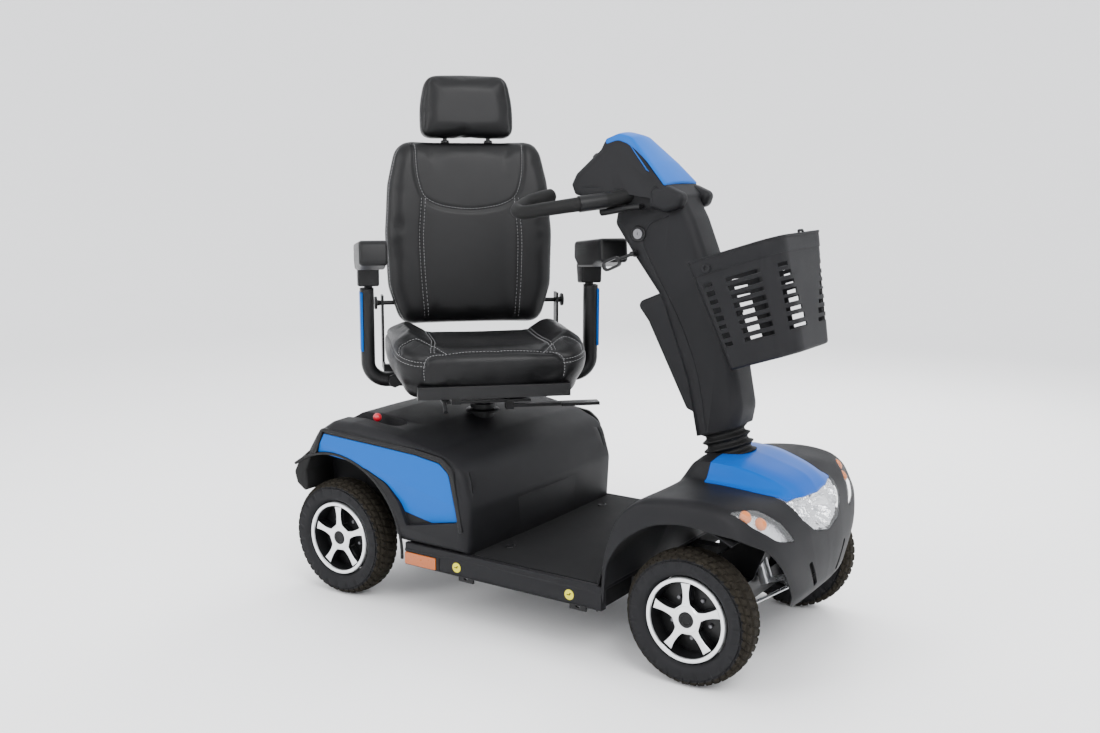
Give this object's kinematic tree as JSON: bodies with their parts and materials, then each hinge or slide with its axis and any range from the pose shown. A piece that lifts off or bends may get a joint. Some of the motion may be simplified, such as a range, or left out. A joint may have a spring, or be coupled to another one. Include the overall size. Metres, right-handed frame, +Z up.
{
  "type": "mobility scooter",
  "caption": "Four-wheel mobility scooter with a swivelling armchair seat, tilting steering column, hooked grips, front basket and floor deck.",
  "frame": {"origin": "on the ground, midway between the axles and between the wheels", "axes": "+Z up; the nose points along -Y; the rider's left is +X"},
  "size_m": [0.7763, 1.346, 1.3421],
  "materials": {
    "black_plastic": "fine moulded texture",
    "black_rubber": "matte",
    "blue_paint": "metallic gloss",
    "black_leather": "semi gloss, light grey stitching",
    "frame_steel": "black powder coat",
    "silver": "machined",
    "tyre_rubber": "block tread",
    "clear_lens": "clear",
    "reflector_chrome": "mirror bright",
    "amber": "prismatic reflector",
    "red_lens": "lens",
    "case_grey": "moulded",
    "control_plastic": "satin"
  },
  "bodies": {
    "chassis": {"main_frame": "frame_steel", "steering_head": "frame_steel", "seat_tower": "frame_steel", "floor_pan": "black_plastic", "side_reflectors": "amber", "floor_mat": "black_rubber", "tie_down_eyes": "frame_steel", "batteries": "case_grey", "controller": "case_grey", "transaxle": "frame_steel", "front_axle": "frame_steel", "front_shroud": "black_plastic", "hood_panel": "blue_paint", "indicator_lenses": "clear_lens", "headlamp_lens": "clear_lens", "headlamp_reflector": "reflector_chrome", "rear_cover": "black_plastic", "side_panels": "blue_paint", "rear_bumper": "black_plastic", "tail_lamps": "red_lens"},
    "freewheel_lever": {"freewheel_lever": "black_plastic"},
    "steering": {"steering_shaft": "frame_steel", "boot": "black_rubber"},
    "knuckle_left": {"knuckle_left": "frame_steel"},
    "knuckle_right": {"knuckle_right": "frame_steel"},
    "tie_rod_left": {"tie_rod_left": "silver"},
    "tie_rod_right": {"tie_rod_right": "silver"},
    "wheel_front_left": {"tyre_front_left": "tyre_rubber", "rim_front_left": "silver"},
    "wheel_front_right": {"tyre_front_right": "tyre_rubber", "rim_front_right": "silver"},
    "wheel_rear_left": {"tyre_rear_left": "tyre_rubber", "rim_rear_left": "silver"},
    "wheel_rear_right": {"tyre_rear_right": "tyre_rubber", "rim_rear_right": "silver"},
    "tiller": {"tiller_tube": "frame_steel", "column_cover": "black_plastic", "column_pod": "black_plastic", "control_head": "black_plastic", "head_panel": "blue_paint", "handlebar": "black_rubber", "dash_display": "black_plastic", "basket": "black_plastic", "basket_bracket": "frame_steel"},
    "drive_lever": {"drive_lever": "frame_steel"},
    "speed_dial": {"speed_dial": "control_plastic"},
    "horn_button": {"horn_button": "control_plastic"},
    "lamp_button": {"lamp_button": "control_plastic"},
    "key_lock": {"key_lock": "silver"},
    "tilt_lever": {"tilt_lever": "frame_steel"},
    "seat_swivel": {"seat_post": "frame_steel"},
    "swivel_lever": {"swivel_lever": "frame_steel"},
    "seat_base": {"seat_base": "black_plastic", "seat_cushion": "black_leather", "arm_brackets": "black_plastic"},
    "slide_lever": {"slide_lever": "frame_steel"},
    "backrest": {"backrest": "black_leather"},
    "headrest": {"headrest": "black_leather"},
    "arm_pad_left": {"arm_pad_left": "black_rubber"},
    "arm_pad_right": {"arm_pad_right": "black_rubber"}
  },
  "joints": [
    {"name": "steering", "type": "hinge", "parent": "chassis", "child": "steering", "pos_m": [0, -0.447, 0.443], "axis": [0, 0.3256, 0.9455], "range_deg": [-25, 25]},
    {"name": "steer_left", "type": "hinge", "parent": "chassis", "child": "knuckle_left", "pos_m": [0.215, -0.5, 0.15], "axis": [0, 0.3256, 0.9455], "range_deg": [-25, 25]},
    {"name": "steer_right", "type": "hinge", "parent": "chassis", "child": "knuckle_right", "pos_m": [-0.215, -0.5, 0.15], "axis": [0, 0.3256, 0.9455], "range_deg": [-25, 25]},
    {"name": "rod_left", "type": "hinge", "parent": "steering", "child": "tie_rod_left", "pos_m": [0, -0.60296, 0.15901], "axis": [0, 0.3256, 0.9455], "range_deg": [-25, 25]},
    {"name": "rod_right", "type": "hinge", "parent": "steering", "child": "tie_rod_right", "pos_m": [0, -0.60296, 0.15901], "axis": [0, 0.3256, 0.9455], "range_deg": [-25, 25]},
    {"name": "spin_front_left", "type": "hinge", "parent": "knuckle_left", "child": "wheel_front_left", "pos_m": [0.285, -0.5, 0.15], "axis": [1, 0, 0], "continuous": true},
    {"name": "spin_front_right", "type": "hinge", "parent": "knuckle_right", "child": "wheel_front_right", "pos_m": [-0.285, -0.5, 0.15], "axis": [1, 0, 0], "continuous": true},
    {"name": "spin_rear_left", "type": "hinge", "parent": "chassis", "child": "wheel_rear_left", "pos_m": [0.285, 0.5, 0.15], "axis": [1, 0, 0], "continuous": true},
    {"name": "spin_rear_right", "type": "hinge", "parent": "chassis", "child": "wheel_rear_right", "pos_m": [-0.285, 0.5, 0.15], "axis": [1, 0, 0], "continuous": true},
    {"name": "tiller_tilt", "type": "hinge", "parent": "steering", "child": "tiller", "pos_m": [0, -0.43723, 0.47137], "axis": [1, 0, 0], "range_deg": [0, 20], "deforming": ["boot"]},
    {"name": "drive_lever", "type": "hinge", "parent": "tiller", "child": "drive_lever", "pos_m": [0, -0.24, 1.01], "axis": [1, 0, 0], "range_deg": [-12, 0], "stiffness_Nm_per_rad": 3, "springref_deg": 8.59},
    {"name": "speed_dial", "type": "hinge", "parent": "tiller", "child": "speed_dial", "pos_m": [0, -0.09549, 1.11829], "axis": [0, 0.735, 0.678], "range_deg": [-135, 135]},
    {"name": "horn_button", "type": "slide", "parent": "tiller", "child": "horn_button", "axis": [0, -0.735, -0.678], "range_m": [0, 0.0025], "stiffness_N_per_m": 300, "springref_m": -0.002},
    {"name": "lamp_button", "type": "slide", "parent": "tiller", "child": "lamp_button", "axis": [0, -0.735, -0.678], "range_m": [0, 0.0025], "stiffness_N_per_m": 300, "springref_m": -0.002},
    {"name": "key_turn", "type": "hinge", "parent": "tiller", "child": "key_lock", "pos_m": [-0.056, -0.222, 0.946], "axis": [-1, 0, 0], "range_deg": [0, 70]},
    {"name": "tilt_lever", "type": "hinge", "parent": "tiller", "child": "tilt_lever", "pos_m": [-0.056, -0.214, 0.9], "axis": [1, 0, 0], "range_deg": [-20, 0], "stiffness_Nm_per_rad": 2, "springref_deg": 11.46},
    {"name": "freewheel", "type": "hinge", "parent": "chassis", "child": "freewheel_lever", "pos_m": [-0.237, 0.446, 0.395], "axis": [1, 0, 0], "range_deg": [0, 30]},
    {"name": "seat_swivel", "type": "hinge", "parent": "chassis", "child": "seat_swivel", "pos_m": [0, 0.272, 0.4], "axis": [0, 0, 1], "range_deg": [0, 90]},
    {"name": "swivel_lever", "type": "hinge", "parent": "seat_swivel", "child": "swivel_lever", "pos_m": [-0.02263, 0.17018, 0.488], "axis": [0, 0, 1], "range_deg": [0, 12], "stiffness_Nm_per_rad": 3, "springref_deg": -5.73},
    {"name": "seat_slide", "type": "slide", "parent": "seat_swivel", "child": "seat_base", "axis": [-0.7071, -0.7071, 0], "range_m": [-0.06, 0]},
    {"name": "slide_lever", "type": "hinge", "parent": "seat_base", "child": "slide_lever", "pos_m": [-0.16122, 0.2918, 0.5287], "axis": [0, 0, 1], "range_deg": [-10, 0], "stiffness_Nm_per_rad": 2, "springref_deg": 5.73},
    {"name": "recline", "type": "hinge", "parent": "seat_base", "child": "backrest", "pos_m": [0.16971, 0.44171, 0.72], "axis": [0.7071, -0.7071, 0], "range_deg": [-15, 35]},
    {"name": "headrest_height", "type": "slide", "parent": "backrest", "child": "headrest", "axis": [0.0739, 0.0739, 0.9945], "range_m": [0, 0.06]},
    {"name": "arm_tilt_left", "type": "hinge", "parent": "seat_base", "child": "arm_pad_left", "pos_m": [0.22769, 0.08674, 0.806], "axis": [-0.7071, 0.7071, 0], "range_deg": [0, 8]},
    {"name": "arm_tilt_right", "type": "hinge", "parent": "seat_base", "child": "arm_pad_right", "pos_m": [-0.18526, 0.49969, 0.806], "axis": [-0.7071, 0.7071, 0], "range_deg": [0, 8]}
  ],
  "couplings": [
    {"joint": "steer_left", "follows": "steering", "ratio": 1},
    {"joint": "steer_right", "follows": "steering", "ratio": 1},
    {"joint": "rod_left", "follows": "steering", "ratio": -1},
    {"joint": "rod_right", "follows": "steering", "ratio": -1}
  ]
}
